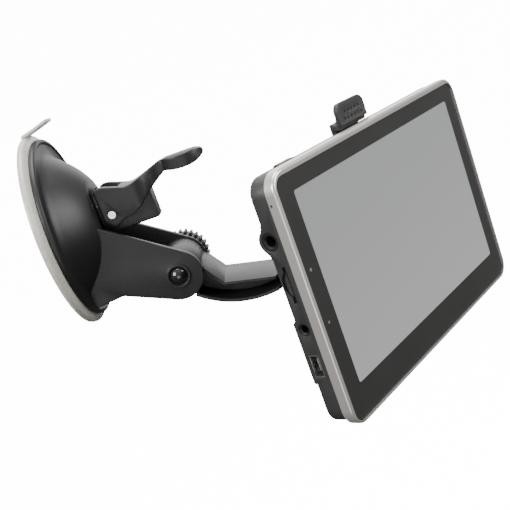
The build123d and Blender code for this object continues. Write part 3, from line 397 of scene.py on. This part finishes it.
# %% [markdown]
# ## Dressing the pieces that are already right
# Most pieces came out of the CAD program with their true shape, so they only need their finish. One
# table goes from the record's material slot to the finish. Two pieces then get their own plastic.

# %% Give each piece its finish
finish_of = {
    "clear_pvc": pad_vinyl, "mount_plastic": mount_plastic, "grey_nylon": nylon, "spring_steel": spring_steel,
    "pin_steel": pin_steel, "gloss_black": gloss_black, "brass": brass, "bezel_silver": bezel_silver,
    "lens_black": lens_black, "foam": foam, "display_glass": display_glass, "tray_steel": tray_steel,
    "cover_plastic": cover_plastic, "screw_black": screw_black, "key_plastic": key_plastic,
    "board_green": board_green, "chip_black": chip_plastic, "battery_wrap": battery_wrap,
    "speaker_black": speaker_black, "ceramic": ceramic, "jack_black": jack_plastic, "port_steel": port_steel,
    "switch_plastic": switch_plastic,
}


def dress(piece, material):
    piece.data.materials.clear()
    piece.data.materials.append(material)


for name, piece in nodes.items():
    dress(piece, finish_of[slot_of[name]])
dress(nodes["clamp_knob"], grip_plastic)
dress(nodes["release_tab"], cover_plastic)
print("dressed", len(nodes), "pieces")

# %% [markdown]
# ## Softened mouldings
# A mould never gives a knife edge. Every corner has a small radius, and that thin radius is what
# catches the light and shows that a part is plastic. The CAD faces arrive as loose triangles, so a
# copy is merged, its flat areas are joined into whole faces, and the corners that are left are
# rounded with the bevel operator. The copy then stands for the CAD piece.

# %% Turn a work mesh into a piece
SHARP = radians(40)


def finished(work, name, body, slot, material, *replaced):
    """Smooth the faces, keep the sharp edges and let the piece ride on a body."""
    for face in work.faces:
        face.smooth = True
    for edge in work.edges:
        edge.smooth = not (edge.is_manifold and edge.calc_face_angle() > SHARP)
    mesh = bpy.data.meshes.new(name)
    work.to_mesh(mesh)
    work.free()
    piece = bpy.data.objects.new(name, mesh)
    bpy.context.scene.collection.objects.link(piece)
    dress(piece, material)
    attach(piece, body)
    if replaced:
        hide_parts(*replaced)
    print(name, len(mesh.polygons), "faces")


# %% Round the corners of a moulded copy
WELD = 0.01 * MM
FLAT = radians(0.6)
CORNER = radians(32)


def softened(name, edge_mm):
    """A copy of a CAD piece with rounded corners, which stands for that piece."""
    work = bmesh.new()
    work.from_mesh(nodes[name].data)
    bmesh.ops.remove_doubles(work, verts=work.verts, dist=WELD)
    bmesh.ops.dissolve_degenerate(work, edges=work.edges, dist=WELD)
    bmesh.ops.dissolve_limit(work, angle_limit=FLAT, verts=work.verts, edges=work.edges)
    bmesh.ops.recalc_face_normals(work, faces=work.faces)
    corners = [edge for edge in work.edges if edge.is_manifold and abs(edge.calc_face_angle()) > CORNER]
    bmesh.ops.bevel(work, geom=corners, offset=edge_mm * MM, offset_type="OFFSET", segments=2,
                    profile=0.5, affect="EDGES", clamp_overlap=False, material=-1)
    finished(work, name + "_moulded", body_of[name], slot_of[name], nodes[name].data.materials[0], name)


for name, edge_mm in (
        ("suction_housing", 0.3), ("lever", 0.35), ("arm", 0.3), ("rear_cover", 0.12),
        ("release_tab", 0.15), ("locking_collar", 0.2), ("cradle", 0.15), ("clamp_knob", 0.12),
        ("power_button", 0.1)):
    softened(name, edge_mm)

# %% [markdown]
# ## The suction pad
# The pad is a disc of soft vinyl whose rim curls a little towards the glass. It has the same section
# all the way round, which is what the spin operator is for: a few points along the section, turned
# once about the suction axis. The pull tab is a thin strip that grows out of the top of the rim.

# %% Spin the pad
PAD_RADIUS = 36.4


def vinyl_disc():
    """The pad's section, turned about the suction axis."""
    glass_side = [(0.0, 0.0), (0.15, 12.0), (0.1, 26.0), (0.0, 33.6)]
    rim = [(0.05, PAD_RADIUS - 0.9), (0.35, PAD_RADIUS - 0.2), (0.9, PAD_RADIUS),
           (1.7, PAD_RADIUS + 0.02), (2.2, PAD_RADIUS - 0.15), (2.5, PAD_RADIUS - 0.5),
           (2.95, PAD_RADIUS - 1.4), (3.4, 34.2), (3.48, 33.0)]
    back_side = [(3.5, 20.0), (3.5, 9.6), (6.1, 9.5), (6.1, 7.3), (2.6, 7.3), (2.6, 0.0)]
    section = glass_side + rim + back_side
    work = bmesh.new()
    points = [work.verts.new((x * MM, 0, radius * MM)) for x, radius in section]
    line = [work.edges.new(pair) for pair in zip(points, points[1:])]
    bmesh.ops.spin(work, geom=points + line, cent=(0, 0, 0), axis=(1, 0, 0), angle=2 * pi, steps=144,
                   use_merge=True)
    bmesh.ops.remove_doubles(work, verts=work.verts, dist=0.005 * MM)
    bmesh.ops.recalc_face_normals(work, faces=work.faces)
    return work


finished(vinyl_disc(), "suction_pad_vinyl", "foot", "clear_pvc", pad_vinyl, "suction_pad")

# %% [markdown]
# The tab is a block that is cut across a few times, bent up by moving its rows, and then rounded. It
# narrows towards its tip, as a moulded strip does.

# %% Pull tab
def pull_strip():
    """Thin strip from the pad's rim to its lifted tip."""
    length, width, thick = 10.6, 11.0, 1.25
    lift, curl, narrowing = 0.24, 0.004, 0.012
    root = Vector((0.5, 0, PAD_RADIUS - 0.6)) * MM
    work = bmesh.new()
    bmesh.ops.create_cube(work, size=1.0)
    bmesh.ops.scale(work, verts=work.verts, vec=Vector((length, width, thick)) * MM)
    bmesh.ops.translate(work, verts=work.verts, vec=root + Vector((length / 2, 0, thick / 2)) * MM)
    side = [edge for edge in work.edges if abs((edge.verts[0].co - edge.verts[1].co).x) > length / 2 * MM]
    bmesh.ops.subdivide_edges(work, edges=side, cuts=9, use_grid_fill=True)
    for vert in work.verts:
        reach = (vert.co.x - root.x) / MM
        vert.co.z += (lift * reach + curl * reach * reach) * MM
        vert.co.y *= 1.0 - narrowing * reach
    tips = [edge for edge in work.edges if edge.calc_face_angle() > radians(50)]
    bmesh.ops.bevel(work, geom=tips, offset=0.4 * MM, offset_type="OFFSET", segments=3, profile=0.5,
                    affect="EDGES", material=-1)
    return work


tab_vinyl = soft_vinyl("tab_pvc", (0.74, 0.73, 0.70, 1), (0.86, 0.85, 0.83, 1))
finished(pull_strip(), "pull_tab", "foot", "clear_pvc", tab_vinyl)

# %% [markdown]
# ## Studio
# The object floats against plain white, as in a catalogue. The pale floor and wall are one round
# bowl, spun from an L-shaped line with a soft corner. It is seen by the camera only, so that its
# white doesn't flood into every dark plastic face.

# %% Floor
def white_bowl():
    radius, floor_z, wall = 3.0, -0.35, 3.0
    section = [(0.0, floor_z), (1.6, floor_z), (2.3, floor_z + 0.08), (2.75, floor_z + 0.4),
               (radius, floor_z + 1.1), (radius, floor_z + wall)]
    work = bmesh.new()
    points = [work.verts.new((x, 0, z)) for x, z in section]
    line = [work.edges.new(pair) for pair in zip(points, points[1:])]
    bmesh.ops.spin(work, geom=points + line, cent=(0, 0, 0), axis=(0, 0, 1), angle=2 * pi, steps=96,
                   use_merge=True)
    bmesh.ops.remove_doubles(work, verts=work.verts, dist=0.001)
    mesh = bpy.data.meshes.new("floor")
    work.to_mesh(mesh)
    work.free()
    floor = bpy.data.objects.new("floor", mesh)
    bpy.context.scene.collection.objects.link(floor)
    finish = Finish("floor_white", Base_Color=(0.9, 0.9, 0.9, 1), Emission_Strength=14.0)
    shade = finish.noise(900.0, detail=1.0)
    dress(floor, finish.feed(Emission_Color=finish.blend(shade, grey(0.99), grey(1.0))))
    for rays in ("glossy", "diffuse", "transmission", "shadow", "volume_scatter"):
        setattr(floor, "visible_" + rays, False)
    print("bowl", 2 * radius, "m across")


white_bowl()

# %% [markdown]
# The camera stands about a third of a metre in front and a little above the foot, with a lens
# slightly longer than normal. Its axes are built from where it looks and which way is up for it.

# %% Camera
def studio_camera():
    eye = Vector((85.83, -316.37, 35.83)) * MM
    look = Vector((-0.0646, 0.975, -0.2128)).normalized()
    tilt = Vector((0.3277, 0.2222, 0.9183)).normalized()
    right = look.cross(tilt).normalized()
    lens = bpy.data.cameras.new("camera")
    lens.lens = 60.87
    lens.sensor_width = 36
    lens.clip_start = 0.01
    lens.clip_end = 20
    camera = bpy.data.objects.new("camera", lens)
    turned = Matrix((right, right.cross(look), -look)).transposed().to_4x4()
    camera.matrix_world = Matrix.Translation(eye) @ turned
    bpy.context.scene.collection.objects.link(camera)
    bpy.context.scene.camera = camera
    print("camera at", [round(value / MM) for value in eye], "mm")


studio_camera()

# %% [markdown]
# A graded sky fills the shadows, and five soft boxes shape the highlights: a key on the left, a weak
# one in front, one overhead, one on the right and one behind that lifts the edges off the white.

# %% Sky and soft boxes
def graded_sky(top, level, under):
    """A plain sky that is bright above and dim below."""
    world = bpy.data.worlds.new("studio")
    bpy.context.scene.world = world
    world.use_nodes = True
    tree = world.node_tree
    place = tree.nodes.new("ShaderNodeTexCoord")
    split = tree.nodes.new("ShaderNodeSeparateXYZ")
    ramp = tree.nodes.new("ShaderNodeValToRGB")
    spread = tree.nodes.new("ShaderNodeMapRange")
    spread.inputs["From Min"].default_value = -1.0
    ramp.color_ramp.elements[0].position = 0.2
    ramp.color_ramp.elements[0].color = grey(under)
    ramp.color_ramp.elements[1].position = 0.9
    ramp.color_ramp.elements[1].color = grey(top)
    ramp.color_ramp.elements.new(0.52).color = grey(level)
    tree.links.new(place.outputs["Generated"], split.inputs[0])
    tree.links.new(split.outputs["Z"], spread.inputs["Value"])
    tree.links.new(spread.outputs[0], ramp.inputs[0])
    tree.links.new(ramp.outputs[0], tree.nodes["Background"].inputs[0])


def soft_box(name, place, aim, size, power):
    """A square lamp that looks at a point."""
    lamp = bpy.data.lights.new(name, "AREA")
    lamp.size = size
    lamp.energy = power
    box = bpy.data.objects.new(name, lamp)
    way = (Vector(aim) - Vector(place)).normalized()
    box.matrix_world = Matrix.Translation(place) @ way.to_track_quat("-Z", "Y").to_matrix().to_4x4()
    bpy.context.scene.collection.objects.link(box)


graded_sky(0.8, 0.26, 0.10)
middle = (0.07, 0.0, -0.03)
soft_box("key", (-0.55, -0.60, 0.45), middle, 0.45, 11.0)
soft_box("front", (-0.05, -0.95, -0.22), middle, 0.5, 2.0)
soft_box("top", (0.1, 0.1, 0.9), middle, 0.7, 12.0)
soft_box("side", (0.95, -0.25, 0.32), middle, 0.6, 9.0)
soft_box("back", (0.0, 1.2, 0.42), middle, 1.2, 8.0)
